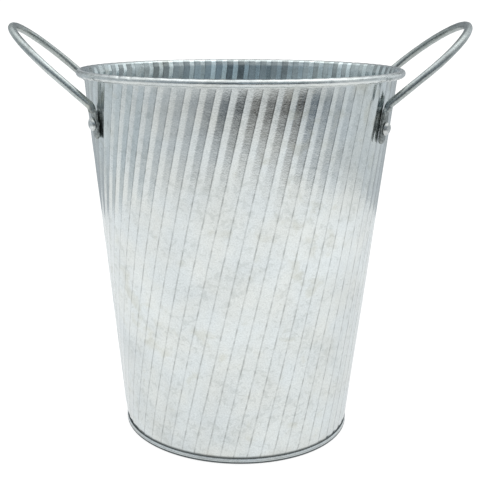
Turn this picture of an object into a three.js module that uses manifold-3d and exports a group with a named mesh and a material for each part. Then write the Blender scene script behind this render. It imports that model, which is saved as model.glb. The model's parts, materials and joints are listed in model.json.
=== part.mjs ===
// A galvanised florist bucket: a corrugated sheet rolled into a cone, its top edge curled over a wire,
// its foot hooked into the hem of a pressed bottom, and two wire handles riveted to the wall.
// Millimetres, +Z up, the handles along X. The origin is on the floor, on the bucket's axis.
import * as THREE from "three";
import { mergeVertices } from "three/addons/utils/BufferGeometryUtils.js";
import Module from "manifold-3d";

const wasm = await Module();
wasm.setup();

// Driving dimensions
const rimHeight = 195.65;
const rimRadius = 84;
const beadRadius = 1.9;
const footRadius = 62.2;
const topRadius = 81.9;
const sheet = 0.4;
const gap = 0.2;
const ribPitch = 6.813;
const ribDepth = 0.34;
const ribValley = 0.43;
const ribPhase = 0.333;
const ribSkew = THREE.MathUtils.degToRad(2.67);
const hemRadius = 62.95;
const hemHeight = 2.8;
const hemLip = 62.15;
const countersink = 61.05;
const panelTop = 3.3;
const seamWidth = 6;
const seamShift = 0.15;
const handleHeight = 181.35;
const handleWire = 4;
const kneeSize = 1.6;
const flattening = 1.9;
const tabWidth = 6.6;
const tabThickness = 2;
const shankRadius = 1.5;
const headRadius = 3.4;
const headHeight = 2.3;
const tailRadius = 2.8;
const tailHeight = 1;

// The handles are bent and riveted by hand, so each is a little different. facing is the azimuth of
// the loop and tilt its slope, both in degrees, rise is how far its bends lie above handleHeight, leg
// is the straight stretch before the loop's round end, tab is the length of the flattened ends, and
// rivetDrop is how far down them the rivets sit.
const rightShape = {
  facing: -0.1,
  rise: 1.0,
  halfWidth: 39.8,
  reach: 57.2,
  leg: 22.3,
  tilt: 40.4,
  tab: 19.4,
  rivetDrop: 11.6,
};
const leftShape = {
  facing: 183.1,
  rise: -0.4,
  halfWidth: 35.2,
  reach: 57.5,
  leg: 21.7,
  tilt: 41.4,
  tab: 16.4,
  rivetDrop: 8.8,
};

// The wall's cone. Unrolled flat it is a sector of a ring, with the cone's tip at its centre.
const slope = (topRadius - footRadius) / rimHeight;
const lean = Math.atan(slope);
const turns = 64;
const rib = ribDepth / 2;
const neckHeight = rimHeight - 3.4;

const wallRadius = (z) => footRadius + slope * z;

// three.js geometry to a manifold-3d solid and back
function toSolid(geometry) {
  const bare = geometry.clone();
  bare.deleteAttribute("normal");
  bare.deleteAttribute("uv");
  const merged = mergeVertices(bare, 1e-4);
  const vertProperties = new Float32Array(merged.attributes.position.array);
  const triVerts = new Uint32Array(merged.index.array);
  return new wasm.Manifold(new wasm.Mesh({ numProp: 3, vertProperties, triVerts }));
}

function toGeometry(solid) {
  const mesh = solid.getMesh();
  const geometry = new THREE.BufferGeometry();
  geometry.setAttribute("position", new THREE.BufferAttribute(mesh.vertProperties, 3));
  geometry.setIndex(new THREE.BufferAttribute(mesh.triVerts, 1));
  geometry.computeVertexNormals();
  return geometry;
}

// A ring or a solid of revolution about Z. The profile is a list of [radius, height].
function turned(profile, segments = turns) {
  const points = profile.map(([radius, height]) => new THREE.Vector2(radius, height));
  const onAxis = profile[0][0] === 0;
  if (!onAxis) {
    points.push(points[0].clone());
  }
  return new THREE.LatheGeometry(points, segments).rotateX(Math.PI / 2);
}

// Points of an arc about (radius, height), from one angle to another
function arc(radius, height, size, from, to, steps) {
  return Array.from({ length: steps + 1 }, (_, i) => {
    const angle = THREE.MathUtils.degToRad(from + ((to - from) * i) / steps);
    return [radius + size * Math.cos(angle), height + size * Math.sin(angle)];
  });
}

// A closed body from two equal grids of points, one for each face: grid[column][row]
function slab(front, back) {
  const columns = front.length;
  const rows = front[0].length;
  const points = [...front.flat(), ...back.flat()];
  const index = [];
  const at = (side, column, row) => (side * columns + column) * rows + row;
  const quad = (a, b, c, d) => index.push(a, b, c, a, c, d);
  for (let i = 0; i + 1 < columns; i++) {
    for (let j = 0; j + 1 < rows; j++) {
      quad(at(0, i, j), at(0, i + 1, j), at(0, i + 1, j + 1), at(0, i, j + 1));
      quad(at(1, i, j), at(1, i, j + 1), at(1, i + 1, j + 1), at(1, i + 1, j));
    }
    quad(at(1, i, 0), at(1, i + 1, 0), at(0, i + 1, 0), at(0, i, 0));
    const last = rows - 1;
    quad(at(0, i, last), at(0, i + 1, last), at(1, i + 1, last), at(1, i, last));
  }
  const end = columns - 1;
  for (let j = 0; j + 1 < rows; j++) {
    quad(at(1, 0, j), at(0, 0, j), at(0, 0, j + 1), at(1, 0, j + 1));
    quad(at(0, end, j), at(1, end, j), at(1, end, j + 1), at(0, end, j + 1));
  }
  const geometry = new THREE.BufferGeometry().setFromPoints(points);
  geometry.setIndex(index);
  return geometry;
}

// Height of the sheet over its mean face: from each ridge it falls to a valley and rises again.
// ribValley is the valley's place between two ridges, as a fraction of the pitch.
function ribHeight(q) {
  const turn = q / ribPitch - ribPhase;
  const along = turn - Math.floor(turn);
  const fall = along / ribValley;
  const climb = (along - ribValley) / (1 - ribValley);
  return rib * (along < ribValley ? 1 - 2 * fall : 2 * climb - 1);
}

// The corrugated sheet. Its ribs are parallel on the flat blank, where a rib is a line at the
// distance q from the cone's tip, so each column of points follows one ridge or one valley.
function ribbedSheet(bottom, top) {
  const rows = 5;
  const seamGap = 0.004;
  const shortestEnd = 4;
  const first = wallRadius(bottom) / Math.sin(lean);
  const last = wallRadius(top) / Math.sin(lean);
  const edgeAngle = (Math.PI - seamGap) * Math.sin(lean);
  const limit = { left: edgeAngle + ribSkew, right: edgeAngle - ribSkew };
  const left = -(last - shortestEnd) * Math.sin(limit.left);
  const right = (last - shortestEnd) * Math.sin(limit.right);
  const folds = [];
  for (let k = Math.floor(left / ribPitch) - 1; k * ribPitch < right; k++) {
    folds.push((k + ribPhase) * ribPitch, (k + ribPhase + ribValley) * ribPitch);
  }
  const lines = [left, ...folds.filter((q) => q > left && q < right), right];
  const face = (depth) =>
    lines.map((q) => {
      const cut = Math.abs(q) / Math.sin(q < 0 ? limit.left : limit.right);
      const start = Math.max(first, cut);
      const height = ribHeight(q);
      return Array.from({ length: rows + 1 }, (_, j) => {
        const s = start + ((last - start) * j) / rows;
        const azimuth = (ribSkew + Math.asin(q / s)) / Math.sin(lean);
        const radius = s * Math.sin(lean);
        const r = radius + height - depth;
        const z = (radius - footRadius) / slope;
        return new THREE.Vector3(r * Math.cos(azimuth), r * Math.sin(azimuth), z);
      });
    });
  return slab(face(0), face(sheet));
}

// A frame on the wall, a drop down it from handleHeight: X across the wall, Y up it and Z out of it
function wallFrame(azimuth, drop) {
  const out = new THREE.Vector3(Math.cos(azimuth), Math.sin(azimuth), 0);
  const up = new THREE.Vector3(0, 0, Math.cos(lean)).addScaledVector(out, Math.sin(lean));
  const normal = out.clone().multiplyScalar(Math.cos(lean));
  normal.z = -Math.sin(lean);
  const origin = out.clone().multiplyScalar(wallRadius(handleHeight)).setZ(handleHeight);
  origin.addScaledVector(up, -drop);
  const across = new THREE.Vector3().crossVectors(up, normal);
  const matrix = new THREE.Matrix4().makeBasis(across, up, normal).setPosition(origin);
  return { origin, up, normal, matrix };
}

// The azimuth of a handle's legs on either side of its facing
function legAzimuth({ halfWidth, rise }) {
  const reach = wallRadius(handleHeight + rise) + (rib + gap + handleWire / 2) / Math.cos(lean);
  return Math.asin(halfWidth / reach);
}

// The four rivets' places on the wall
function rivetPlace(shape, side) {
  const azimuth = THREE.MathUtils.degToRad(shape.facing) + side * legAzimuth(shape);
  return wallFrame(azimuth, shape.rivetDrop - shape.rise).matrix;
}

const rivetPlaces = {
  rivet_right_rear: rivetPlace(rightShape, 1),
  rivet_right_front: rivetPlace(rightShape, -1),
  rivet_left_front: rivetPlace(leftShape, 1),
  rivet_left_rear: rivetPlace(leftShape, -1),
};

function shankHole(matrix) {
  const radius = shankRadius + gap;
  const depth = 12;
  const hole = new THREE.CylinderGeometry(radius, radius, depth, 16).rotateX(Math.PI / 2);
  return toSolid(hole.applyMatrix4(matrix));
}

// The sheet's top edge, curled open over the rim wire; its root overlaps the ribbed sheet
function rimCurl() {
  const inner = beadRadius - sheet;
  const rootInset = 0.8;
  const rootCover = 0.35;
  return turned([
    [wallRadius(neckHeight) - rootInset, neckHeight],
    [wallRadius(neckHeight) + rootCover, neckHeight],
    [wallRadius(rimHeight - 1) + rootCover, rimHeight - 1],
    ...arc(rimRadius, rimHeight, inner, 160, -140, 5),
    ...arc(rimRadius, rimHeight, beadRadius, -140, 150, 7),
    [wallRadius(rimHeight) - rootInset, rimHeight - rootInset],
  ]);
}

// The sheet's foot: a collar above the hem, a skirt down inside it, and a lip hooked out under it
function footHook() {
  const hookOuter = hemRadius - sheet - gap;
  const hookTop = hemHeight - sheet - gap;
  const hookInner = hookOuter - 0.3;
  const hookBottom = sheet + gap;
  const skirtInner = countersink + 0.35;
  const skirtOuter = hemLip - gap;
  const collarBottom = hemHeight + gap;
  const collarTop = collarBottom + 1;
  const collarInner = countersink + 0.2;
  const collarOuter = hemLip + 0.35;
  return turned([
    [skirtInner, hookBottom],
    [hookOuter, hookBottom],
    [hookOuter, hookTop],
    [hookInner, hookTop],
    [hookInner, hookBottom + sheet],
    [skirtOuter, hookBottom + sheet],
    [skirtOuter, collarBottom],
    [collarOuter, collarBottom],
    [collarOuter, collarTop],
    [collarInner, collarTop],
    [collarInner, collarBottom],
    [skirtInner, collarBottom - gap],
  ]);
}

// The lock seam: a flat strip along the wall that stands proud of it outside
function lockSeam() {
  const proud = 0.85;
  const bottom = hemHeight + 3 * gap;
  const top = neckHeight + 0.5;
  const length = (top - bottom) / Math.cos(lean);
  const depth = proud + sheet + rib;
  const strip = new THREE.BoxGeometry(seamWidth, length, depth);
  const middle = (handleHeight - (top + bottom) / 2) / Math.cos(lean);
  const { normal, matrix } = wallFrame(Math.PI, middle);
  return strip.applyMatrix4(matrix).translate(...normal.clone().multiplyScalar(seamShift).toArray());
}

// Body wall: ribbed sheet, lock seam, curl open under the rim, and foot hooked into the bottom's hem
function bodyWall() {
  const sheetBottom = hemHeight + 0.5;
  const sheetTop = rimHeight - 1.5;
  let solid = toSolid(ribbedSheet(sheetBottom, sheetTop));
  for (const piece of [rimCurl(), footHook(), lockSeam()]) {
    solid = solid.add(toSolid(piece));
  }
  for (const place of Object.values(rivetPlaces)) {
    solid = solid.subtract(shankHole(place));
  }
  return toGeometry(solid);
}

// Rim wire inside the curl
function rimWire() {
  const wireRadius = beadRadius - sheet - gap - 0.05;
  return new THREE.TorusGeometry(rimRadius, wireRadius, 6, turns).translate(0, 0, rimHeight);
}

// Bottom: a flat panel, a countersunk wall inside the body, and a hem folded over the body's hook
function bottomDisc() {
  const bend = 0.2;
  const round = 0.3;
  const panel = countersink - sheet;
  return turned([
    [0, panelTop - sheet],
    [panel, panelTop - sheet],
    [panel, bend],
    [panel + bend, 0],
    [hemRadius - round, 0],
    [hemRadius, round],
    [hemRadius, hemHeight - round],
    [hemRadius - round, hemHeight],
    [hemLip, hemHeight],
    [hemLip, hemHeight - sheet],
    [hemRadius - sheet, hemHeight - sheet],
    [hemRadius - sheet, sheet],
    [countersink, sheet],
    [countersink, panelTop - bend],
    [countersink - bend, panelTop],
    [0, panelTop],
  ]);
}

// Handle: a round wire loop whose ends are bent down and flattened into tabs. It is made facing +X.
function handleStations(shape) {
  const { origin, up, normal } = wallFrame(legAzimuth(shape), -shape.rise);
  const tilt = THREE.MathUtils.degToRad(shape.tilt);
  const inPlane = new THREE.Vector3(Math.cos(tilt), 0, Math.sin(tilt));
  const under = new THREE.Vector3(Math.sin(tilt), 0, -Math.cos(tilt));
  const tabOffset = rib + gap + tabThickness / 2;
  const wireOffset = rib + gap + handleWire / 2;
  const bend = origin.clone().addScaledVector(normal, wireOffset);
  const stations = [];
  const tabEnd = tabWidth / 2;
  const roundStart = shape.tab - kneeSize;
  const flatEnd = roundStart - flattening;
  for (const t of [0.1, 0.7, 1.8, tabEnd, flatEnd, flatEnd + 0.8, roundStart - 0.3]) {
    const round = Math.sqrt(1 - Math.max(0, 1 - t / tabEnd) ** 2);
    const blend = THREE.MathUtils.smoothstep(t, flatEnd, roundStart);
    stations.push({
      point: origin
        .clone()
        .addScaledVector(up, t - shape.tab)
        .addScaledVector(normal, THREE.MathUtils.lerp(tabOffset, wireOffset, blend)),
      normal,
      width: THREE.MathUtils.lerp(tabWidth * round, handleWire, blend),
      thickness: THREE.MathUtils.lerp(tabThickness, handleWire, blend),
    });
  }
  const knee = new THREE.QuadraticBezierCurve3(
    bend.clone().addScaledVector(up, -kneeSize),
    bend,
    bend.clone().addScaledVector(inPlane, kneeSize),
  );
  const round = { width: handleWire, thickness: handleWire };
  knee.getPoints(4).forEach((point, i) => {
    stations.push({ point, normal: normal.clone().lerp(under, i / 4).normalize(), ...round });
  });
  const inLoop = (s, y) => bend.clone().setY(y).addScaledVector(inPlane, s);
  for (let i = 0; i <= 9; i++) {
    const angle = (i / 9) * (Math.PI / 2);
    const point = inLoop(
      shape.leg + (shape.reach - shape.leg) * Math.sin(angle),
      bend.y * Math.cos(angle),
    );
    stations.push({ point, normal: under, ...round });
  }
  const flip = new THREE.Vector3(1, -1, 1);
  const mirrored = stations.slice(0, -1).map((station) => ({
    ...station,
    point: station.point.clone().multiply(flip),
    normal: station.normal.clone().multiply(flip),
  }));
  return [...stations, ...mirrored.reverse()];
}

// A closed body lofted through the stations, each an ellipse across the path
function loft(stations, sides = 10) {
  const points = [];
  const index = [];
  stations.forEach(({ point, normal, width, thickness }, i) => {
    const before = stations[Math.max(0, i - 1)].point;
    const after = stations[Math.min(stations.length - 1, i + 1)].point;
    const tangent = after.clone().sub(before).normalize();
    const across = new THREE.Vector3().crossVectors(tangent, normal).normalize();
    const out = new THREE.Vector3().crossVectors(across, tangent);
    for (let k = 0; k < sides; k++) {
      const angle = (2 * Math.PI * (k + 0.5)) / sides;
      points.push(
        point
          .clone()
          .addScaledVector(across, (width / 2) * Math.cos(angle))
          .addScaledVector(out, (thickness / 2) * Math.sin(angle)),
      );
    }
  });
  const end = points.length;
  points.push(stations[0].point.clone(), stations.at(-1).point.clone());
  for (let i = 0; i + 1 < stations.length; i++) {
    for (let k = 0; k < sides; k++) {
      const a = i * sides + k;
      const b = i * sides + ((k + 1) % sides);
      index.push(a, a + sides, b, b, a + sides, b + sides);
    }
  }
  for (let k = 0; k < sides; k++) {
    const next = (k + 1) % sides;
    const top = (stations.length - 1) * sides;
    index.push(end, k, next);
    index.push(end + 1, top + next, top + k);
  }
  const geometry = new THREE.BufferGeometry().setFromPoints(points);
  geometry.setIndex(index);
  return geometry;
}

function handle(shape) {
  let wire = toSolid(loft(handleStations(shape)));
  for (const side of [1, -1]) {
    wire = wire.subtract(shankHole(rivetPlace({ ...shape, facing: 0 }, side)));
  }
  return toGeometry(wire);
}

// Rivet along Z, with Z = 0 on the wall's outer face: tail inside the wall, domed head on the tab
function rivet() {
  const tailTop = -sheet - rib - gap;
  const headBase = rib + gap + tabThickness + gap;
  return turned(
    [
      [0, tailTop - tailHeight],
      [tailRadius - 0.4, tailTop - tailHeight],
      [tailRadius, tailTop - tailHeight / 2],
      [tailRadius, tailTop],
      [shankRadius, tailTop],
      [shankRadius, headBase],
      [headRadius, headBase],
      [headRadius * 0.94, headBase + headHeight * 0.4],
      [headRadius * 0.72, headBase + headHeight * 0.76],
      [headRadius * 0.4, headBase + headHeight * 0.95],
      [0, headBase + headHeight],
    ],
    16,
  );
}

const bucket = new THREE.Group();

function addPiece(name, geometry, colour, roughness) {
  const material = new THREE.MeshStandardMaterial({ color: colour, roughness, metalness: 0.9 });
  const mesh = new THREE.Mesh(geometry, material);
  mesh.name = name;
  bucket.add(mesh);
  return mesh;
}

addPiece("body_wall", bodyWall(), 0xc9cfd0, 0.5);
addPiece("rim_wire", rimWire(), 0xa9aeb0, 0.45);
addPiece("bottom_disc", bottomDisc(), 0xb8bdbe, 0.5);
for (const [name, shape] of Object.entries({ handle_right: rightShape, handle_left: leftShape })) {
  const mesh = addPiece(name, handle(shape), 0x8f979a, 0.4);
  mesh.rotation.z = THREE.MathUtils.degToRad(shape.facing);
}
for (const [name, place] of Object.entries(rivetPlaces)) {
  addPiece(name, rivet(), 0xa3aaad, 0.35).applyMatrix4(place);
}

export default bucket;
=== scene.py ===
import json
import math

import bpy
import numpy as np
from mathutils import Matrix, Vector

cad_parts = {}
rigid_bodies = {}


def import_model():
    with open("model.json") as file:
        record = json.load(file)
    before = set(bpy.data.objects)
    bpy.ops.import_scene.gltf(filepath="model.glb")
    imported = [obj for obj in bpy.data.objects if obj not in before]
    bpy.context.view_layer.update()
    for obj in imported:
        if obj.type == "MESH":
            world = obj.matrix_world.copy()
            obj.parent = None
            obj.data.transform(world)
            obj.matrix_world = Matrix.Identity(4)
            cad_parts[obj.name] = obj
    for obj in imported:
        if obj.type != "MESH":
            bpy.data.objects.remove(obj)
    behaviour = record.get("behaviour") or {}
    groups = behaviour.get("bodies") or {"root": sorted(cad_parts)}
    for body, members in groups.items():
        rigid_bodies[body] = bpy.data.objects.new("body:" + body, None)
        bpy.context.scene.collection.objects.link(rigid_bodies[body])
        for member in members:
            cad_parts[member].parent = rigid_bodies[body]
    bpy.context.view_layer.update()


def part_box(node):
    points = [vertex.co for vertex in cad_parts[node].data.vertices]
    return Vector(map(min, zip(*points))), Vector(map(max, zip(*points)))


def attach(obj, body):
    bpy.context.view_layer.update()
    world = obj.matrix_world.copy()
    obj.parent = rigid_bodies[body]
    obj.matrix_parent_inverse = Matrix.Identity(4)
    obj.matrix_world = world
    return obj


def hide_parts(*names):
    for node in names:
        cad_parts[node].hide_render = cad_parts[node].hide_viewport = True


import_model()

# ---------------------------------------------------------------- sizes, in metres
MM = 0.001
rim_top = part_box("body_wall")[1]
hem_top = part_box("bottom_disc")[1]

BEAD = 1.9 * MM                       # radius of the wired rim's section
RIM_RADIUS = rim_top.x - BEAD
RIM_HEIGHT = rim_top.z - BEAD
NECK_HEIGHT = RIM_HEIGHT - 2.6 * MM   # where the wall starts to bend over the rim wire
HEM_RADIUS = hem_top.x
HEM_HEIGHT = 2.8 * MM
FOOT_RADIUS = 62.2 * MM               # the wall's outer face, carried down to the floor
TOP_RADIUS = 81.9 * MM                # the same face at the rim's height
SHEET = 0.4 * MM                      # thickness of the wall and the bottom
SLOPE = (TOP_RADIUS - FOOT_RADIUS) / RIM_HEIGHT
LEAN = math.atan(SLOPE)

RIB_PITCH = 6.813 * MM
RIB_SKEW = math.radians(2.67)         # slant of the ribs on the blank
RIB_PHASE = 0.333                     # distance of the first ridge's line from the cone's tip, in pitches
RIB_UNEVEN = 0.12                     # how much one rib's depth differs from the next
RIB_DRIFT = 1.3 * MM                  # how far the ribs wander where the blank was stretched
DRIFT_AZIMUTH = math.radians(-38)
DRIFT_WIDTH = math.radians(17)
DRIFT_FADE = (100 * MM, 170 * MM)     # heights between which they straighten again
PLEAT = 0.34 * MM                     # depth of the fold from ridge to valley
VALLEY = 0.43                         # where the valley lies between two ridges, in pitches
VALLEY_ROUND = 0.022 * MM
RIDGE = 0.03 * MM                     # the fine burr along the ridge
RIDGE_WIDTH = 0.25 * MM

WALL_FOOT = 1.3 * MM                  # height of the sheet's lower edge, inside the hem
FOOT_PRESSED = (2.5 * MM, 7 * MM)     # the hem's tools pressed the ribs flat below these heights,
FOOT_DEPTH = 0.25                     # to this share of their depth
CREVICE = 0.32 * MM                   # depth of the groove round the wall just above the hem
CREVICE_HEIGHT = 3.5 * MM
CREVICE_WIDTH = 0.9 * MM
SWAY = 0.05 * MM                      # how far the wall is out of round
SWAY_START = (4 * MM, 30 * MM)

BEND_STEPS = 6                        # rows of the mesh from the neck to the curl
CURL_STEPS = 18                       # and round the curl
CURL_START = 166                      # angles round the rim wire in degrees, 0 being outwards
CURL_END = -148
CURL_STEP = 0.6 * MM                  # length of sheet from one of these rows to the next
# Small dents in the rim: azimuth, row of the mesh from the neck on, and depth towards the wire
RIM_DENTS = [
    (math.radians(-131), 13, 0.35 * MM),
    (math.radians(-126), 13, 0.3 * MM),
    (math.radians(-62), 15, 0.22 * MM),
    (math.radians(38), 12, 0.3 * MM),
    (math.radians(141), 14, 0.26 * MM),
]
DENT_WIDTH = 0.9 * MM
DENT_ROWS = 2.2
INNER_OFFSET = 50 * MM                # how far behind the blank the inner face's points are noted

SEAM_AZIMUTH = math.pi
SEAM_WIDTH = 6 * MM
SEAM_FADE = (3.2 * MM, 9 * MM)        # the ribs die out between these distances from the seam
EDGE_GAP = 0.003                      # from the seam's middle to each edge of the sheet, in radians

# The handles are bent and riveted by hand. facing is the azimuth of the loop, rise how far its bends
# lie above HANDLE_HEIGHT, leg the straight stretch before the loop's round end, tab the length of the
# flattened ends, and rivet_drop how far down them the rivets sit. Degrees and millimetres.
HANDLE_HEIGHT = 181.35 * MM
RIGHT = {
    "facing": -0.1, "rise": 1.0, "half_width": 39.8, "reach": 57.2, "leg": 22.3, "tilt": 40.4,
    "tab": 19.4, "rivet_drop": 11.6,
}
LEFT = {
    "facing": 183.1, "rise": -0.4, "half_width": 35.2, "reach": 57.5, "leg": 21.7, "tilt": 41.4,
    "tab": 16.4, "rivet_drop": 8.8,
}
WIRE = 4 * MM
KNEE = 1.5 * MM
FLATTENING = 1.9 * MM                 # the stretch over which the wire turns into the flat tab
TAB_WIDTH = 6.6 * MM
TAB_THICKNESS = 2 * MM
TAB_SQUARENESS = 3.2                  # exponent of the tab's section; 2 is round
HEAD_RADIUS = 3.4 * MM
HEAD_HEIGHT = 2.3 * MM
HEAD_EDGE = 0.25 * MM                 # height of the upright edge under the dome
TAIL_RADIUS = 2.8 * MM
TAIL_HEIGHT = 1 * MM
SHANK_RADIUS = 1.5 * MM
CLEARANCE = 0.37 * MM                 # from the wall's mean face to the tab's back


# ---------------------------------------------------------------- mesh helpers
def mesh_piece(name, points, faces, place=None, smooth_angle=50):
    """A smooth mesh object on the root body; edges sharper than the angle stay sharp."""
    mesh = bpy.data.meshes.new(name)
    mesh.from_pydata([tuple(p) for p in points], [], faces)
    mesh.validate()
    if place is not None:
        mesh.transform(place)
    mesh.shade_smooth()
    mesh.set_sharp_from_angle(angle=math.radians(smooth_angle))
    piece = bpy.data.objects.new(name, mesh)
    bpy.context.scene.collection.objects.link(piece)
    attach(piece, "root")
    return piece


def turned(name, profile, segments, wobble, **options):
    """A solid of revolution about Z, from (radius, height) points that start and end on the axis.

    wobble gives a radial shift for an azimuth and a height."""
    rows = len(profile)
    points = []
    for i in range(segments):
        azimuth = 2 * math.pi * i / segments
        for radius, height in profile:
            r = radius + (wobble(azimuth, height) if radius > 0 else 0)
            points.append((r * math.cos(azimuth), r * math.sin(azimuth), height))
    faces = []
    for i in range(segments):
        a = i * rows
        b = ((i + 1) % segments) * rows
        faces.append([0, b + 1, a + 1])
        for j in range(1, rows - 2):
            faces.append([a + j, b + j, b + j + 1, a + j + 1])
        faces.append([a + rows - 2, b + rows - 2, rows - 1])
    used = sorted({corner for face in faces for corner in face})
    number = {old: new for new, old in enumerate(used)}
    faces = [[number[corner] for corner in face] for face in faces]
    return mesh_piece(name, [points[old] for old in used], faces, **options)


def loft(name, stations, sides=24, **options):
    """A closed tube through (point, tangent, normal, width, thickness, squareness) stations."""
    points = []
    for point, tangent, normal, width, thickness, squareness in stations:
        across = tangent.cross(normal).normalized()
        out = across.cross(tangent)
        for k in range(sides):
            angle = 2 * math.pi * (k + 0.5) / sides
            c = math.cos(angle)
            s = math.sin(angle)
            x = math.copysign(abs(c) ** (2 / squareness), c) * width / 2
            y = math.copysign(abs(s) ** (2 / squareness), s) * thickness / 2
            points.append(point + across * x + out * y)
    faces = []
    last = (len(stations) - 1) * sides
    for k in range(sides):
        after = (k + 1) % sides
        for ring in range(0, last, sides):
            faces.append((ring + k, ring + sides + k, ring + sides + after, ring + after))
    faces.append(tuple(range(sides)))
    faces.append(tuple(last + k for k in reversed(range(sides))))
    return mesh_piece(name, points, faces, **options)


def smoothstep(x, low, high):
    t = np.clip((x - low) / (high - low), 0, 1)
    return t * t * (3 - 2 * t)


def arc(radius, height, size, start, end, steps):
    """Points on an arc about (radius, height), between two angles in degrees."""
    angles = np.radians(np.linspace(start, end, steps + 1))
    return [(radius + size * math.cos(a), height + size * math.sin(a)) for a in angles]


# ---------------------------------------------------------------- the ribbed wall
# Unrolled flat, the cone is a sector of a ring. The ribs are parallel on that blank: each is a
# line at the distance q from the cone's tip, and s is the distance from the tip along the blank.
def wall_radius(z):
    return FOOT_RADIUS + SLOPE * z


def tip_distance(z):
    return wall_radius(z) / math.sin(LEAN)


def rib_phase(q):
    """How far q is from the nearest ridge, in pitches, from -0.5 to 0.5."""
    return (q / RIB_PITCH - RIB_PHASE + 0.5) % 1 - 0.5


rng = np.random.default_rng(7)
RIB_DEPTHS = 1 + RIB_UNEVEN * rng.standard_normal(200)


def rib_profile(q):
    """Height of the sheet over its mean face: two flat facets to a rib, sharp ridge, soft valley."""
    along = q / RIB_PITCH - RIB_PHASE
    strip = np.floor(along)
    u = along - strip
    falling = 0.5 - u / VALLEY
    rising = (u - VALLEY) / (1 - VALLEY) - 0.5
    fold = (falling + rising) / 2 + np.sqrt(((falling - rising) / 2) ** 2 + (VALLEY_ROUND / PLEAT) ** 2)
    ridge = RIDGE * np.exp(-((rib_phase(q) * RIB_PITCH / RIDGE_WIDTH) ** 2))
    depth = PLEAT * RIB_DEPTHS[strip.astype(int) + len(RIB_DEPTHS) // 2]
    return (fold - 0.5) * depth + 0.5 * PLEAT + ridge


def rib_lines(left, right):
    """The values of q that the mesh follows: close together at each ridge and each valley."""
    spread = np.array([-0.4, -0.25, -0.1, -0.05, -0.025, 0, 0.025, 0.05, 0.15, 0.3, 0.37, 0.41, 0.45, 0.5])
    ridges = np.arange(math.floor(left / RIB_PITCH) - 1, math.ceil(right / RIB_PITCH) + 2) + RIB_PHASE
    lines = (ridges[:, None] + spread).ravel() * RIB_PITCH
    return lines[(lines > left) & (lines < right)]


def curl_path():
    """Mid-line of the sheet from the wall over the rim wire, as points and normals in a section."""
    middle = BEAD - SHEET / 2
    start = np.array([wall_radius(NECK_HEIGHT) - SHEET / 2, NECK_HEIGHT])
    arc_points = np.array(arc(RIM_RADIUS, RIM_HEIGHT, middle, CURL_START, CURL_END, CURL_STEPS))
    lead = 1.1 * MM
    up = np.array([SLOPE, 1.0]) / math.hypot(SLOPE, 1)
    angle = math.radians(CURL_START)
    along = np.array([math.sin(angle), -math.cos(angle)])
    a, b, c, d = start, start + lead * up, arc_points[0] - lead * along, arc_points[0]
    t = np.linspace(0, 1, BEND_STEPS + 1)[:, None]
    bend = (1 - t) ** 3 * a + 3 * (1 - t) ** 2 * t * b + 3 * (1 - t) * t**2 * c + t**3 * d
    path = np.vstack([bend, arc_points[1:]])
    tangents = np.gradient(path, axis=0)
    tangents /= np.linalg.norm(tangents, axis=1)[:, None]
    tangents[0] = up
    normals = np.stack([tangents[:, 1], -tangents[:, 0]], axis=1)
    return path, normals


def wall_grid():
    """The wall's grid of points, a row of the arrays for each rib line, which runs foot to neck.

    Gives q, s, and then the azimuth, mean radius and height of every point."""
    first = tip_distance(WALL_FOOT)
    last = tip_distance(NECK_HEIGHT)
    edge = (math.pi - EDGE_GAP) * math.sin(LEAN)
    left_limit = edge + RIB_SKEW
    right_limit = edge - RIB_SKEW
    corners = last - np.array([0.2, 1, 4]) * MM
    lines = np.concatenate([
        -corners * math.sin(left_limit),
        rib_lines(-corners[2] * math.sin(left_limit), corners[2] * math.sin(right_limit)),
        corners[::-1] * math.sin(right_limit),
    ])
    q = lines[:, None]
    limits = np.where(q < 0, math.sin(left_limit), math.sin(right_limit))
    start = np.maximum(first, np.abs(q) / limits)
    near_foot = np.array([0, 0.5, 1, 1.5, 2, 2.6, 3.3, 4.2, 5.5, 7.5]) * MM / (last - first)
    fractions = np.concatenate([near_foot, np.linspace(near_foot[-1], 1, 30)[1:]])
    s = start + (last - start) * fractions
    azimuth = (RIB_SKEW + np.arcsin(q / s)) / math.sin(LEAN)
    mean = s * math.sin(LEAN)
    z = (mean - FOOT_RADIUS) / SLOPE
    drift = RIB_DRIFT * np.exp(-(((azimuth - DRIFT_AZIMUTH) / DRIFT_WIDTH) ** 2))
    azimuth = azimuth + drift * (1 - smoothstep(z, *DRIFT_FADE)) / mean
    return q, s, azimuth, mean, z


def away_from_seam(azimuth, mean):
    """0 on the lock seam and beside it, 1 from a little way off."""
    return smoothstep(mean * (math.pi - np.abs(azimuth)), *SEAM_FADE)


def wall_lift(q, azimuth, mean, z):
    """How far the wall stands off its mean cone: the ribs, the crevice at the foot and the sway."""
    pressed = FOOT_DEPTH + (1 - FOOT_DEPTH) * smoothstep(z, *FOOT_PRESSED)
    crevice = CREVICE * np.exp(-(((z - CREVICE_HEIGHT) / CREVICE_WIDTH) ** 2))
    sway = np.sin(3 * azimuth + 1.1) + np.sin(7 * azimuth + 31 * z) + np.sin(5 * azimuth - 53 * z)
    ribs = rib_profile(q) * away_from_seam(azimuth, mean) * pressed
    return ribs - crevice + SWAY * sway * smoothstep(z, *SWAY_START)


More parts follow.
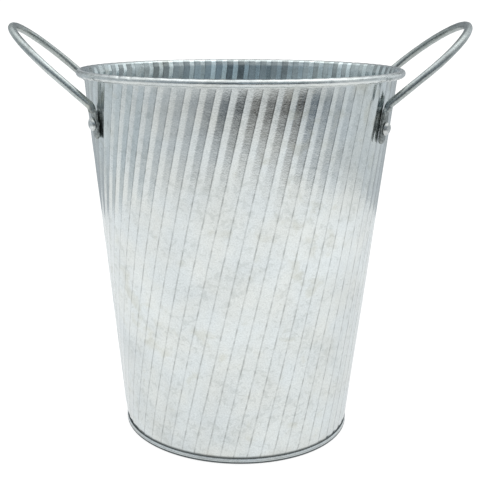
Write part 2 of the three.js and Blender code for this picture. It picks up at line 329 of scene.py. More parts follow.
def curl_lift(q, azimuth, mean, lift):
    """How far the sheet stands off the curl's mid-line, from its lift along the wall's top edge.

    The ribs give way to faint ones, which deepen again towards the curl's free edge."""
    rows = np.arange(BEND_STEPS + 1 + CURL_STEPS)[None, :]
    onto_curl = smoothstep(rows, 4, 10)
    faint = (0.05 + 0.1 * smoothstep(rows, 15, 24)) * MM
    waves = np.cos(2 * math.pi * rib_phase(q)) * faint
    total = lift * (1 - onto_curl) + waves * onto_curl * away_from_seam(azimuth, mean)
    dents = np.zeros_like(total)
    for dent_azimuth, dent_row, depth in RIM_DENTS:
        away = RIM_RADIUS * (azimuth - dent_azimuth) / DENT_WIDTH
        rows_away = (rows - dent_row) / DENT_ROWS
        dents += depth * np.exp(-(away**2) - rows_away**2)
    return total + dents


def shell_faces(columns, rows):
    """Faces of a closed shell: a grid of points for its outer side, then one for its inner side."""
    inner = columns * rows
    faces = []
    for i in range(columns - 1):
        a = i * rows
        b = a + rows
        for j in range(rows - 1):
            faces.append((a + j, b + j, b + j + 1, a + j + 1))
            faces.append((inner + a + j, inner + a + j + 1, inner + b + j + 1, inner + b + j))
        faces.append((inner + a, inner + b, b, a))
        faces.append((a + rows - 1, b + rows - 1, inner + b + rows - 1, inner + a + rows - 1))
    end = (columns - 1) * rows
    for j in range(rows - 1):
        faces.append((inner + j, j, j + 1, inner + j + 1))
        faces.append((end + j, inner + end + j, inner + end + j + 1, end + j + 1))
    return faces


def mark_blank(wall, q, s):
    """Note each point's place on the flat blank and its count of ribs, for the material.

    The inner face's places lie INNER_OFFSET behind the blank, which tells the faces apart."""
    s = np.concatenate([s, s[:, -1:] + np.cumsum(np.full((1, BEND_STEPS + CURL_STEPS), CURL_STEP))], axis=1)
    turn = np.arcsin(q / s) + RIB_SKEW
    blank = np.stack([s * np.sin(turn), s * np.cos(turn), np.zeros_like(turn)], axis=-1)
    behind = blank + np.array([0, 0, INNER_OFFSET])
    store = wall.data.attributes.new("blank", "FLOAT_VECTOR", "POINT")
    store.data.foreach_set("vector", np.concatenate([blank, behind]).ravel().astype(np.float32))
    count = np.broadcast_to(q / RIB_PITCH - RIB_PHASE, s.shape).ravel()
    store = wall.data.attributes.new("rib", "FLOAT", "POINT")
    store.data.foreach_set("value", np.concatenate([count, count]).astype(np.float32))


def build_wall():
    """The body sheet: a closed shell whose outer and inner faces follow the ribs, foot to curl."""
    q, s, azimuth, mean, z = wall_grid()
    lift = wall_lift(q, azimuth, mean, z)
    path, normals = curl_path()
    top = azimuth[:, -1:]
    over_curl = curl_lift(q, top, mean[:, -1:], lift[:, -1:])

    def face(side):
        """side is 0 for the outer face of the wall and 1 for the inner one"""
        r = mean + lift - side * SHEET
        wall = np.stack([r * np.cos(azimuth), r * np.sin(azimuth), z], axis=-1)
        shift = SHEET * (0.5 - side) + over_curl[:, 1:]
        r = path[1:, 0] + normals[1:, 0] * shift
        height = path[1:, 1] + normals[1:, 1] * shift
        curl = np.stack([r * np.cos(top), r * np.sin(top), height], axis=-1)
        return np.concatenate([wall, curl], axis=1)

    outer = face(0)
    points = np.concatenate([outer.reshape(-1, 3), face(1).reshape(-1, 3)])
    wall = mesh_piece("wall_sheet", points, shell_faces(*outer.shape[:2]), smooth_angle=60)
    mark_blank(wall, q, s)
    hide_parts("body_wall")


# ---------------------------------------------------------------- frames on the wall
def wall_frame(azimuth, height):
    """A frame on the wall's mean face: X across the wall, Y up it and Z out of it."""
    out = Vector((math.cos(azimuth), math.sin(azimuth), 0))
    up = Vector((0, 0, math.cos(LEAN))) + out * math.sin(LEAN)
    normal = out * math.cos(LEAN) - Vector((0, 0, math.sin(LEAN)))
    origin = out * wall_radius(height) + Vector((0, 0, height))
    across = up.cross(normal)
    axes = Matrix((across, up, normal)).transposed().to_4x4()
    return Matrix.Translation(origin) @ axes


def build_seam():
    """The lock seam: the sheet's two edges folded over each other in a flat strip."""
    bottom = HEM_HEIGHT + 0.9 * MM
    top = RIM_HEIGHT - 2.3 * MM
    folds = SHEET + 1.25 * MM
    proud = 0.95 * MM
    stations = []
    for t in np.linspace(0, 1, 40):
        height = bottom + (top - bottom) * t
        place = wall_frame(SEAM_AZIMUTH, height)
        squeezed = min(1, 0.72 + 14 * t, 0.8 + 12 * (1 - t))
        swell = 0.04 * MM * math.sin(37 * t) + 0.03 * MM * math.sin(91 * t + 2)
        middle = (proud * squeezed - SHEET - 0.2 * MM) / 2
        stations.append((
            place @ Vector((0, 0, middle)),
            place.to_3x3() @ Vector((0, 1, 0)),
            place.to_3x3() @ Vector((0, 0, 1)),
            SEAM_WIDTH + swell,
            folds * squeezed + swell,
            6,
        ))
    seam = loft("lock_seam", stations, sides=32)


# ---------------------------------------------------------------- the bottom
def build_bottom():
    """Pressed bottom: panel with a shallow step, countersunk wall, and the hem round the foot."""
    panel = 3.3 * MM
    under = panel - SHEET
    step = 0.5 * MM
    step_inside = 52 * MM
    step_outside = 53 * MM
    half_way = 40 * MM
    wall = 61.05 * MM
    lip = 62.17 * MM
    profile = [
        (0, under),
        (half_way, under),
        (step_inside, under),
        (step_outside, under - step),
        (wall - 1.6 * MM, under - step),
        *arc(wall - 1.4 * MM, under - 1.5 * MM, MM, 90, 0, 4),
        *arc(wall + 0.1 * MM, 0.5 * MM, 0.5 * MM, 180, 270, 4),
        *arc(HEM_RADIUS - 0.62 * MM, 0.62 * MM, 0.62 * MM, 270, 355, 6),
        (HEM_RADIUS - 0.13 * MM, 1.35 * MM),
        (HEM_RADIUS - 0.16 * MM, 1.5 * MM),
        (HEM_RADIUS - 0.1 * MM, 1.65 * MM),
        *arc(HEM_RADIUS - 0.6 * MM, HEM_HEIGHT - 0.58 * MM, 0.58 * MM, 5, 125, 8),
        (lip, HEM_HEIGHT - 0.25 * MM),
        (lip, HEM_HEIGHT - SHEET - 0.2 * MM),
        (HEM_RADIUS - SHEET - 0.1 * MM, HEM_HEIGHT - SHEET - 0.3 * MM),
        (HEM_RADIUS - SHEET - 0.1 * MM, SHEET),
        (wall + 0.1 * MM, SHEET),
        (wall, SHEET + 0.2 * MM),
        *arc(wall - 0.8 * MM, panel - 1.3 * MM, 0.8 * MM, 0, 90, 4),
        (step_outside + SHEET, panel - step),
        (step_inside + SHEET, panel),
        (half_way, panel),
        (0, panel),
    ]

    def wobble(azimuth, height):
        """The hem is folded a little unevenly, but stands on a true ring."""
        if height < 0.2 * MM:
            return 0
        return 0.03 * MM * math.sin(5 * azimuth + 2) + 0.02 * MM * math.sin(74 * azimuth)

    bottom = turned("pressed_bottom", profile, 400, wobble)
    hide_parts("bottom_disc")


# ---------------------------------------------------------------- handles and rivets
def leg_azimuth(shape):
    """Azimuth of a handle's rear leg, from the handle's facing."""
    reach = wall_radius(HANDLE_HEIGHT + shape["rise"] * MM) + (CLEARANCE + WIRE / 2) / math.cos(LEAN)
    return math.asin(shape["half_width"] * MM / reach)


def half_handle(shape):
    """Stations (point, normal, width, thickness, squareness) from the rear tab's end to the loop's tip."""
    tilt = math.radians(shape["tilt"])
    leg = shape["leg"] * MM
    reach = shape["reach"] * MM
    tab = shape["tab"] * MM
    place = wall_frame(leg_azimuth(shape), HANDLE_HEIGHT + shape["rise"] * MM)
    axes = place.to_3x3()
    up = axes @ Vector((0, 1, 0))
    normal = axes @ Vector((0, 0, 1))
    origin = place.translation
    outwards = Vector((math.cos(tilt), 0, math.sin(tilt)))
    under = Vector((math.sin(tilt), 0, -math.cos(tilt)))
    bend = origin + normal * (CLEARANCE + WIRE / 2)
    stations = []

    # up the flattened tab, t from its end, into the round wire
    flat = tab - KNEE - FLATTENING
    rounded = np.array([0.02, 0.15, 0.4, 0.8, 1.3, 1.9, 2.6]) * MM
    narrowing = flat + FLATTENING * np.linspace(0, 1, 7)[:-1]
    for t in np.concatenate([rounded, np.linspace(3.4 * MM, flat, 14)[:-1], narrowing]):
        end = math.sqrt(1 - max(0, 1 - t / (TAB_WIDTH / 2)) ** 2)
        blend = float(smoothstep(t, flat, tab - KNEE))
        offset = CLEARANCE + ((TAB_THICKNESS * (1 - blend) + WIRE * blend) / 2)
        width = (TAB_WIDTH * end) * (1 - blend) + WIRE * blend
        thickness = TAB_THICKNESS * (0.55 + 0.45 * end) * (1 - blend) + WIRE * blend
        point = origin + up * (t - tab) + normal * offset
        squareness = TAB_SQUARENESS + (2 - TAB_SQUARENESS) * blend
        stations.append((point, normal, width, thickness, squareness))

    # round the knee, along the straight leg, and round the loop's end to its tip
    for t in np.linspace(0, 1, 9)[1:]:
        a, b, c = bend - up * KNEE, bend, bend + outwards * KNEE
        point = a * (1 - t) ** 2 + b * 2 * t * (1 - t) + c * t**2
        stations.append((point, normal.lerp(under, t).normalized(), WIRE, WIRE, 2))
    for s in np.linspace(KNEE, leg, 9)[1:-1]:
        stations.append((bend + outwards * s, under, WIRE, WIRE, 2))
    for angle in np.linspace(0, math.pi / 2, 30):
        point = bend + outwards * (leg + (reach - leg) * math.sin(angle))
        point.y = bend.y * math.cos(angle)
        stations.append((point, under, WIRE, WIRE, 2))
    return stations


def build_handle(name, shape, node):
    """A wire loop made facing +X, then turned to its own facing."""
    half = half_handle(shape)
    flip = Vector((1, -1, 1))
    mirrored = []
    for point, normal, width, thickness, squareness in half[:-1]:
        mirrored.append((point * flip, normal * flip, width, thickness, squareness))
    whole = half + mirrored[::-1]
    stations = []
    for i, (point, normal, width, thickness, squareness) in enumerate(whole):
        before = whole[max(0, i - 1)][0]
        after = whole[min(len(whole) - 1, i + 1)][0]
        uneven = 1 + 0.012 * math.sin(1.7 * i + shape["leg"]) + 0.008 * math.sin(0.61 * i)
        tangent = (after - before).normalized()
        stations.append((point, tangent, normal, width * uneven, thickness * uneven, squareness))
    turn = Matrix.Rotation(math.radians(shape["facing"]), 4, "Z")
    handle = loft(name, stations, place=turn)
    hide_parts(node)


def build_rivet(name, shape, side, node, turn):
    """Rivet with a hammered dome outside and a flat tail inside, Z along its axis.

    side is 1 or -1, for the leg that lies that way round from the handle's facing."""
    tail_top = -SHEET - CLEARANCE
    head_base = CLEARANCE + TAB_THICKNESS + 0.1 * MM
    dome_base = head_base + HEAD_EDGE
    dome_height = HEAD_HEIGHT - HEAD_EDGE
    dome = [
        (HEAD_RADIUS * math.cos(a) ** 0.8, dome_base + dome_height * math.sin(a) ** 1.1)
        for a in np.radians(np.linspace(0, 84, 11))
    ]
    profile = [
        (0, tail_top - TAIL_HEIGHT),
        (TAIL_RADIUS * 0.7, tail_top - 0.95 * TAIL_HEIGHT),
        (TAIL_RADIUS * 0.95, tail_top - 0.6 * TAIL_HEIGHT),
        (TAIL_RADIUS, tail_top - 0.2 * TAIL_HEIGHT),
        (TAIL_RADIUS * 0.97, tail_top),
        (SHANK_RADIUS, tail_top),
        (SHANK_RADIUS, head_base),
        (HEAD_RADIUS * 0.96, head_base),
        *dome,
        (0, head_base + HEAD_HEIGHT),
    ]

    def wobble(azimuth, _height):
        """Each rivet was struck differently, which turn stands for."""
        return 0.07 * MM * math.sin(3 * azimuth + turn) + 0.04 * MM * math.sin(7 * azimuth + 2 * turn)

    azimuth = math.radians(shape["facing"]) + side * leg_azimuth(shape)
    height = HANDLE_HEIGHT + (shape["rise"] - shape["rivet_drop"] * math.cos(LEAN)) * MM
    place = wall_frame(azimuth, height)
    rivet = turned(name, profile, 48, wobble, place=place)
    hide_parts(node)


# ---------------------------------------------------------------- materials
class Nodes:
    """A node tree, with a short call for each kind of node used here."""

    def __init__(self, tree):
        self.tree = tree

    def add(self, kind, inputs=None, **settings):
        node = self.tree.nodes.new(kind)
        for key, value in settings.items():
            setattr(node, key, value)
        for key, value in (inputs or {}).items():
            self.feed(node.inputs[key], value)
        return node

    def feed(self, socket, value):
        if isinstance(value, bpy.types.NodeSocket):
            self.tree.links.new(value, socket)
        else:
            socket.default_value = value

    def maths(self, operation, a, b=0.0, c=0.0):
        return self.add("ShaderNodeMath", {0: a, 1: b, 2: c}, operation=operation).outputs[0]

    def rest(self, amount):
        """What is left of 1."""
        return self.maths("SUBTRACT", 1.0, amount)

    def place(self, attribute=None):
        """Where a point is on the object, or in the frame that a mesh attribute gives."""
        if attribute:
            return self.add("ShaderNodeAttribute", attribute_name=attribute).outputs["Vector"]
        return self.add("ShaderNodeTexCoord").outputs["Object"]

    def height(self, where):
        return self.add("ShaderNodeSeparateXYZ", {0: where}).outputs[2]

    def noise(self, where, size, detail, distortion=0.0):
        """Noise from 0 to 1 whose blotches are about size metres across."""
        inputs = {"Vector": where, "Scale": 1 / size, "Detail": detail, "Distortion": distortion}
        return self.add("ShaderNodeTexNoise", inputs).outputs["Fac"]

    def crystals(self, where, size):
        """A random value from 0 to 1 for each grain of about size metres."""
        grain = self.add("ShaderNodeTexVoronoi", {"Vector": where, "Scale": 1 / size, "Randomness": 1.0})
        return self.add("ShaderNodeSeparateColor", {"Color": grain.outputs["Color"]}).outputs[0]

    def scaled(self, value, low, high, to_low, to_high, smooth=False):
        """The value carried from the range low to high over to the range to_low to to_high."""
        kind = "SMOOTHSTEP" if smooth else "LINEAR"
        inputs = {
            "Value": value, "From Min": low, "From Max": high, "To Min": to_low, "To Max": to_high,
        }
        return self.add("ShaderNodeMapRange", inputs, interpolation_type=kind).outputs["Result"]

    def mixed(self, amount, a, b):
        """Colour a where amount is 0, and b where it is 1."""
        node = self.add("ShaderNodeMix", data_type="RGBA")
        self.feed(node.inputs[0], amount)
        self.feed(node.inputs[6], a)
        self.feed(node.inputs[7], b)
        return node.outputs[2]

    def tinted(self, colour, factor):
        """The colour with each channel times factor."""
        return self.add("ShaderNodeVectorMath", {0: colour, 1: factor}, operation="MULTIPLY").outputs[0]

    def bump(self, height, distance, normal=None):
        inputs = {"Height": height, "Distance": distance, "Strength": 1.0}
        if normal is not None:
            inputs["Normal"] = normal
        return self.add("ShaderNodeBump", inputs).outputs["Normal"]


class Finish(Nodes):
    """A new material with its node tree and its shader."""

    def __init__(self, name):
        self.material = bpy.data.materials.new(name)
        self.material.use_nodes = True
        self.shader = self.material.node_tree.nodes["Principled BSDF"]
        super().__init__(self.material.node_tree)

    def give(self, socket, value):
        self.feed(self.shader.inputs[socket], value)

    def given(self, socket):
        """What feeds the shader's socket so far."""
        return self.shader.inputs[socket].links[0].from_socket


def rgb(red, green, blue):
    return (red, green, blue, 1.0)


# Colours, as linear red, green and blue
WALL_TONE = (0.634, 0.664, 0.660)
# the hem's tone is darker than the wall's as painted shade, for the shadowed floor it mirrors near the foot
HEM_TONE = (0.56, 0.597, 0.605)
SEAM_TONE = (0.58, 0.61, 0.615)
CORE_TONE = (0.55, 0.57, 0.58)
WIRE_TONE = (0.375, 0.405, 0.40)
RIVET_TONE = (0.56, 0.58, 0.58)
GRAZING_TINT = rgb(0.86, 0.87, 0.88)  # the metal's tint where it is seen edge on
WARM_CAST = (1.011, 1.004, 0.984)     # the zinc's tone wanders between these two casts
COOL_CAST = (0.984, 1.0, 1.012)
WORN_SPOT = rgb(0.25, 0.28, 0.26)
STAIN = rgb(0.50, 0.495, 0.40)
# painted shade: the thin dark line beside each ridge, standing in for the dark room that the ridge's steep
# flank mirrors
RIDGE_SHADE_COLOUR = rgb(0.14, 0.15, 0.145)
TIDE_MARK = rgb(0.50, 0.46, 0.36)
# painted shade: the near-black mixed into the crevice above the hem, the hem's groove and its edges
SHADE_DARK = rgb(0.05, 0.06, 0.062)


def cast(tone, factors):
    return rgb(*(channel * factor for channel, factor in zip(tone, factors)))


def zinc(name, tone, roughness, where=None, mottle=0.05, stains=0.3, grain=1.3 * MM, relief=0.02 * MM):
    """Galvanised steel: fine grained zinc, clouded in patches, with a few faint beige stains.

    mottle is how far its lightness wanders, stains the most that a stain covers, grain the size of
    its crystals and relief the depth of its finest bump."""
    n = Finish(name)
    where = n.place(where)
    spangle = n.crystals(where, grain)
    speckle = n.noise(where, 0.75 * MM, 4)
    blotch = n.noise(where, 3.2 * MM, 4, 0.8)
    clouds = n.noise(where, 24 * MM, 3, 0.4)
    patches = n.noise(where, 60 * MM, 2)

    light = n.scaled(spangle, 0, 1, 1 - mottle / 2, 1 + mottle / 2)
    light = n.maths("MULTIPLY", light, n.scaled(speckle, 0.3, 0.7, 1 - 1.7 * mottle, 1 + 1.7 * mottle))
    light = n.maths("MULTIPLY", light, n.scaled(clouds, 0.35, 0.65, 1 - 0.6 * mottle, 1 + 0.6 * mottle))
    light = n.maths("MULTIPLY", light, n.scaled(patches, 0.35, 0.65, 1 - mottle, 1 + mottle))
    cool = n.scaled(n.noise(where, 17 * MM, 3), 0.35, 0.65, 0, 1)
    colour = n.tinted(n.mixed(cool, cast(tone, WARM_CAST), cast(tone, COOL_CAST)), light)
    worn = n.maths("MULTIPLY", blotch, n.scaled(clouds, 0.3, 0.7, 1.1, 0.8))
    worn = n.scaled(worn, 0.47, 0.66, 0, 3.8 * mottle, smooth=True)
    colour = n.mixed(worn, colour, WORN_SPOT)
    smudge = n.maths("MULTIPLY", n.noise(where, 10 * MM, 4, 0.3), n.scaled(patches, 0.35, 0.65, 0.75, 1.1))
    smudge = n.scaled(smudge, 0.54, 0.72, 0, stains, smooth=True)
    colour = n.mixed(smudge, colour, STAIN)

    dull = n.scaled(clouds, 0.25, 0.75, roughness - 0.04, roughness + 0.04)
    dull = n.maths("ADD", dull, n.scaled(spangle, 0, 1, -0.03, 0.03))
    dull = n.maths("ADD", dull, n.maths("MULTIPLY", smudge, 0.2))
    ripple = n.bump(n.noise(where, 6 * MM, 2), 0.03 * MM)
    n.give("Metallic", 1.0)
    n.give("Specular Tint", GRAZING_TINT)
    n.give("Base Color", colour)
    n.give("Roughness", dull)
    n.give("Normal", n.bump(speckle, relief, normal=ripple))
    return n, colour, where


LINE_SHIFT = 0.15 * MM                # the line of painted shade lies just left of its ridge
LINE_CORE = 0.1 * MM                  # its full strength reaches this far from its middle
LINE_EDGE = 0.6 * MM
CURL_LOOK = (3.2 * MM, 2.0 * MM)      # below the rim's middle, where its look takes over
RIM_TONE = 0.93                       # the curled rim is handled most: darker and duller
RIM_DULL = 0.12
INNER_DULL = 0.06
INNER_REFLECTION_TINT = (0.92, 0.98, 1.0)        # painted reflection: a bluish cast on the inner face, standing in for the bluish room it mirrors
CREVICE_SHADE_TOP = 4.5 * MM                  # painted shade in the crevice above the hem
HEM_GROOVE = 1.75 * MM                # height of the painted shade line in the fine groove round the hem
TAB_DULL = 0.12


def wall_zinc():
    """The sheet's zinc: painted shade beside the ridges, a handled rim, painted reflection on the inner
    face, and a tide-marked foot with painted shade in its crevice.
    """
    n, colour, where = zinc("galvanised_wall", WALL_TONE, 0.14, where="blank")
    count = n.add("ShaderNodeAttribute", attribute_name="rib").outputs["Fac"]
    inside, on_top, shade = inner_flanks_and_shading(n, where, count)
    low, high = CURL_LOOK
    on_curl = n.scaled(n.height(n.place()), RIM_HEIGHT - low, RIM_HEIGHT - high, 0, 1, smooth=True)
    on_curl = n.maths("MAXIMUM", n.maths("MULTIPLY", on_curl, n.rest(inside)), on_top)
    inside = n.maths("MULTIPLY", inside, n.rest(on_curl))

    # painted shade: a thin dark line beside each ridge, where its steep flank would mirror the dark room
    colour = n.mixed(painted_ridge_shade(n, where, count, on_curl), colour, RIDGE_SHADE_COLOUR)
    colour = n.tinted(colour, n.scaled(on_curl, 0, 1, 1, RIM_TONE))
    # painted reflection on the inner face: the bluish tint and the lighter and darker flanks
    colour = n.mixed(inside, colour, n.tinted(n.tinted(colour, INNER_REFLECTION_TINT), shade))
    dull = n.maths("ADD", n.given("Roughness"), n.maths("MULTIPLY", inside, INNER_DULL))
    n.give("Roughness", n.maths("ADD", dull, n.maths("MULTIPLY", on_curl, RIM_DULL)))
    n.give("Base Color", above_hem(n, colour))
    return n.material


def painted_ridge_shade(n, where, count, on_curl):
    """How strongly the thin line of painted shade along each ridge shows: broken up, and not on the curl.
    """
    wander = n.scaled(n.noise(where, 14 * MM, 2), 0.3, 0.7, -0.012, 0.012)
    across = n.maths("ADD", n.maths("ADD", count, 0.5 + LINE_SHIFT / RIB_PITCH), wander)
    across = n.maths("ABSOLUTE", n.maths("SUBTRACT", n.maths("FRACT", across), 0.5))
    line = n.scaled(across, LINE_CORE / RIB_PITCH, LINE_EDGE / RIB_PITCH, 1, 0, smooth=True)
    line = n.maths("MULTIPLY", line, n.rest(on_curl))
    broken = n.scaled(n.noise(where, 5 * MM, 5), 0.38, 0.68, 0.17, 0.52, smooth=True)
    return n.maths("MULTIPLY", line, broken)


def inner_flanks_and_shading(n, where, count):
    """Where the sheet's inner face is, where it tops the rim, and the painted light and shade of each
    fold's flank: one flank lighter, the next darker.
    """
    along, across, side = n.add("ShaderNodeSeparateXYZ", {0: where}).outputs
    inside = n.maths("GREATER_THAN", side, 0.4 * INNER_OFFSET)
    reach = n.maths("SQRT", n.maths("MULTIPLY_ADD", along, along, n.maths("MULTIPLY", across, across)))
    neck = tip_distance(NECK_HEIGHT)
    over = n.scaled(reach, neck + 6 * CURL_STEP, neck + 10 * CURL_STEP, 0, 1, smooth=True)
    past_valley = n.maths("GREATER_THAN", n.maths("FRACT", count), VALLEY)
    flank = n.maths("MULTIPLY_ADD", past_valley, 0.5, n.maths("FLOOR", count))
    value = n.add("ShaderNodeTexWhiteNoise", {"W": flank}, noise_dimensions="1D").outputs["Value"]
    # painted light and shade: flanks past the valley darker, the others lighter, each a little at random
    shade = n.maths("MULTIPLY", n.scaled(past_valley, 0, 1, 1.14, 0.76), n.scaled(value, 0, 1, 0.8, 1.12))
    return inside, n.maths("MULTIPLY", inside, over), shade


def above_hem(n, colour):
    """Painted shade in the crevice between the wall's foot and the hem, with a beige tide mark over it."""
    up = n.height(n.place())
    patches = n.noise(n.place(), 12 * MM, 3)
    tide = n.maths("MULTIPLY", n.scaled(up, 3 * MM, 8 * MM, 1, 0), n.scaled(patches, 0.45, 0.7, 0, 0.4))
    # painted shade: darkening in the crevice just above the hem
    crevice_shade = n.scaled(up, 3.0 * MM, CREVICE_SHADE_TOP, 0.93, 0, smooth=True)
    return n.mixed(crevice_shade, n.mixed(tide, colour, TIDE_MARK), SHADE_DARK)


def hem_zinc():
    """The bottom's zinc, with painted shade in the groove at mid height and along both edges of the hem."""
    n, colour, where = zinc("galvanised_hem", HEM_TONE, 0.26, stains=0.4)
    up = n.height(where)
    low = n.scaled(up, 0.95 * MM, 1.3 * MM, 0.93, 0, smooth=True)
    high = n.scaled(up, HEM_HEIGHT - 0.3 * MM, HEM_HEIGHT, 0, 0.8, smooth=True)
    from_groove = n.maths("ABSOLUTE", n.maths("SUBTRACT", up, HEM_GROOVE))
    groove = n.scaled(from_groove, 0.08 * MM, 0.3 * MM, 0.6, 0, smooth=True)
    # painted shade: the groove, the hem's top edge by the crevice and its bottom edge over the floor
    dark = n.maths("MAXIMUM", n.maths("MAXIMUM", low, high), groove)
    n.give("Base Color", n.mixed(dark, colour, SHADE_DARK))
    return n.material


def wire_zinc():
    """The handles' zinc, crushed dark and rough where the wire's ends were hammered flat."""
    n, colour, where = zinc("dull_zinc_wire", WIRE_TONE, 0.32, mottle=0.12, grain=1.1 * MM)
    on_tab = n.scaled(n.height(where), HANDLE_HEIGHT - 3 * MM, HANDLE_HEIGHT, 1, 0, smooth=True)
    crushed = n.scaled(n.noise(where, 1.2 * MM, 4), 0.4, 0.6, 0.5, 0.95)
    n.give("Base Color", n.mixed(on_tab, colour, n.tinted(colour, crushed)))
    n.give("Roughness", n.maths("MULTIPLY_ADD", on_tab, TAB_DULL, n.given("Roughness")))
    return n.material


def plain_zinc(name, tone, roughness, **options):
    return zinc(name, tone, roughness, **options)[0].material


def dress():
    """Give every piece, and the CAD's rim wire, its material."""
    looks = {
        "wall_sheet": wall_zinc(),
        "lock_seam": plain_zinc("galvanised_seam", SEAM_TONE, 0.25, stains=0.4),
        "pressed_bottom": hem_zinc(),
        "rim_wire": plain_zinc("core_wire", CORE_TONE, 0.4, grain=1.2 * MM),
        "wire_handle": wire_zinc(),
        "domed_rivet": plain_zinc("zinc_rivet", RIVET_TONE, 0.33, mottle=0.12, relief=0.05 * MM),
    }
    for piece in bpy.context.scene.objects:
        for start, material in looks.items():
            if piece.name.startswith(start):
                piece.data.materials.clear()
                piece.data.materials.append(material)


# ---------------------------------------------------------------- studio
FLOOR_RADIUS = 500 * MM
FLOOR_DROP = 0.2 * MM                 # below the bucket's foot
FLOOR_SHADE = 0.28
FLOOR_GLOW = 0.84                     # evens the table out to white, as the photograph's is


def build_floor():
    """A round pale table that the bucket stands on."""
    ring = []
    for angle in np.linspace(0, 2 * math.pi, 128, endpoint=False):
        ring.append((FLOOR_RADIUS * math.cos(angle), FLOOR_RADIUS * math.sin(angle), -FLOOR_DROP))
    mesh = bpy.data.meshes.new("floor")
    mesh.from_pydata(ring, [], [tuple(range(len(ring)))])
    floor = bpy.data.objects.new("floor", mesh)
    bpy.context.scene.collection.objects.link(floor)
    n = Finish("white_table")
    n.give("Base Color", rgb(FLOOR_SHADE, FLOOR_SHADE, FLOOR_SHADE))
    n.give("Roughness", 1.0)
    n.give("Specular IOR Level", 0.0)
    n.give("Emission Color", rgb(1, 1, 1))
    n.give("Emission Strength", FLOOR_GLOW)
    mesh.materials.append(n.material)


def softbox(name, location, target, size, radiance):
    """A rectangular light, in metres, that looks equally bright whatever its size."""
    data = bpy.data.lights.new(name, "AREA")
    data.shape = "RECTANGLE"
    data.size, data.size_y = size
    data.energy = radiance * math.pi * size[0] * size[1]
    lamp = bpy.data.objects.new(name, data)
    lamp.location = location
    lamp.rotation_euler = (Vector(target) - Vector(location)).to_track_quat("-Z", "Y").to_euler()
    lamp.visible_camera = False
    bpy.context.scene.collection.objects.link(lamp)


# What lies beyond the table, by bearing from the front in degrees to the right: the room just
# under the metal's horizon, the walls above it, and the tent of cloth over them
ROOM = [
    (-180, (0.35, 0.37, 0.39)), (-130, (0.72, 0.77, 0.80)), (-92, (0.64, 0.70, 0.74)),
    (-65, (0.60, 0.63, 0.66)), (-43, (0.41, 0.44, 0.47)), (-21, (0.08, 0.10, 0.12)),
    (1, (0.03, 0.02, 0.01)), (20, (0.0, 0.0, 0.005)), (31, (0.03, 0.015, 0.0)),
    (40, (0.03, 0.07, 0.12)), (50, (0.17, 0.21, 0.25)), (67, (0.45, 0.49, 0.53)),
    (90, (0.73, 0.77, 0.80)), (130, (0.76, 0.80, 0.83)), (180, (0.35, 0.37, 0.39)),
]
WALLS = [
    (-180, (0.28, 0.30, 0.32)), (-126, (0.76, 0.80, 0.82)), (-96, (0.60, 0.64, 0.66)),
    (-60, (0.40, 0.45, 0.49)), (0, (0.25, 0.32, 0.38)), (34, (0.36, 0.42, 0.46)),
    (70, (0.60, 0.64, 0.66)), (122, (0.95, 0.98, 1.00)), (180, (0.28, 0.30, 0.32)),
]
SKY = [
    (-180, (0.38, 0.40, 0.41)), (-130, (1.10, 1.13, 1.15)), (-95, (1.40, 1.43, 1.45)),
    (-50, (0.85, 0.86, 0.88)), (0, (0.50, 0.52, 0.54)), (50, (0.85, 0.86, 0.88)),
    (100, (1.85, 1.88, 1.90)), (135, (1.30, 1.33, 1.35)), (180, (0.38, 0.40, 0.41)),
]
TABLE = rgb(1.03, 1.04, 1.045)
BACKDROP = rgb(1.1, 1.1, 1.1)         # what the camera itself sees behind the object
# Elevations in degrees between which each of them gives way to the next one up
TABLE_TO_ROOM = (-20.2, -14.6)
ROOM_TO_WALLS = (-5, 9)
WALLS_TO_SKY = (20, 42)
PANELS = 3.2                          # how closely the walls' bright and dark panels stand


def bearing_ramp(n, turn, stops):
    """A colour ramp round the horizon, from stops of (bearing in degrees, colour)."""
    ramp = n.add("ShaderNodeValToRGB", {"Fac": turn})
    elements = ramp.color_ramp.elements
    while len(elements) < len(stops):
        elements.new(0.5)
    for element, (degrees, colour) in zip(elements, stops):
        element.position = degrees / 360 + 0.5
        element.color = rgb(*colour)
    return ramp.outputs["Color"]


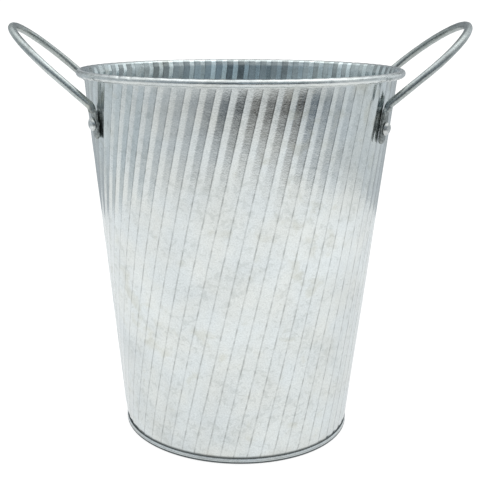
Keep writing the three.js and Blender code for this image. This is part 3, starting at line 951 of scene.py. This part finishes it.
def build_world():
    """White behind the object; what the metal mirrors is a pale table, a room and its walls."""
    world = bpy.data.worlds.new("studio")
    bpy.context.scene.world = world
    world.use_nodes = True
    n = Nodes(world.node_tree)
    direction = n.add("ShaderNodeTexCoord").outputs["Generated"]
    right, back, up = n.add("ShaderNodeSeparateXYZ", {0: direction}).outputs
    bearing = n.maths("ARCTAN2", right, n.maths("MULTIPLY", back, -1.0))
    turn = n.maths("MULTIPLY_ADD", bearing, 1 / (2 * math.pi), 0.5)
    elevation = n.maths("ARCSINE", up)

    def rises(limits, smooth=True):
        """0 below the first of two elevations and 1 above the second."""
        return n.scaled(elevation, math.radians(limits[0]), math.radians(limits[1]), 0, 1, smooth)

    panels = {"W": bearing, "Scale": PANELS, "Detail": 2.0}
    panels = n.add("ShaderNodeTexNoise", panels, noise_dimensions="1D").outputs["Fac"]
    walls = n.tinted(bearing_ramp(n, turn, WALLS), n.scaled(panels, 0.32, 0.68, 0.3, 1.7))
    sky = n.tinted(bearing_ramp(n, turn, SKY), n.scaled(panels, 0.32, 0.68, 1.45, 0.55))
    seen = n.mixed(rises(TABLE_TO_ROOM, smooth=False), TABLE, bearing_ramp(n, turn, ROOM))
    seen = n.mixed(rises(ROOM_TO_WALLS), seen, walls)
    seen = n.mixed(rises(WALLS_TO_SKY), seen, sky)
    camera_ray = n.add("ShaderNodeLightPath").outputs["Is Camera Ray"]
    background = n.tree.nodes["Background"]
    n.feed(background.inputs["Color"], n.mixed(camera_ray, seen, BACKDROP))
    background.inputs["Strength"].default_value = 1.0


# The photograph's camera, fitted to the bucket's rim, foot, ribs and handles
CAMERA_PLACE = (0, -475.1 * MM, 226.25 * MM)
CAMERA_YAW = -0.0439                  # to the right and downwards, in radians
CAMERA_PITCH = 0.2536
LENS = 66.2                           # on a sensor 36 mm wide
SENSOR = 36
SHIFT = 0.0833


def build_camera():
    data = bpy.data.cameras.new("camera")
    data.sensor_width = SENSOR
    data.lens = LENS
    data.shift_x = SHIFT
    data.dof.use_dof = False
    camera = bpy.data.objects.new("camera", data)
    camera.location = CAMERA_PLACE
    level = math.cos(CAMERA_PITCH)
    forward = Vector((math.sin(CAMERA_YAW) * level, math.cos(CAMERA_YAW) * level, -math.sin(CAMERA_PITCH)))
    camera.rotation_euler = forward.to_track_quat("-Z", "Y").to_euler()
    bpy.context.scene.collection.objects.link(camera)
    bpy.context.scene.camera = camera


# ---------------------------------------------------------------- the whole scene
build_camera()
build_wall()
build_seam()
build_bottom()
build_handle("wire_handle_right", RIGHT, "handle_right")
build_handle("wire_handle_left", LEFT, "handle_left")
RIVETS = {
    "right_rear": (RIGHT, 1),
    "right_front": (RIGHT, -1),
    "left_front": (LEFT, 1),
    "left_rear": (LEFT, -1),
}
for turn, (corner, (shape, side)) in enumerate(RIVETS.items()):
    build_rivet("domed_rivet_" + corner, shape, side, "rivet_" + corner, 1.3 * turn)
dress()
build_floor()
build_world()
softbox("ceiling_softbox", (0, -0.05, 1.5), (0, 0, 0), (1.7, 1.7), 0.8)
softbox("key_softbox", (0.05, -0.95, 1.25), (0, 0, 0.1), (0.5, 0.3), 0.6)
bpy.context.scene.view_settings.view_transform = "Standard"
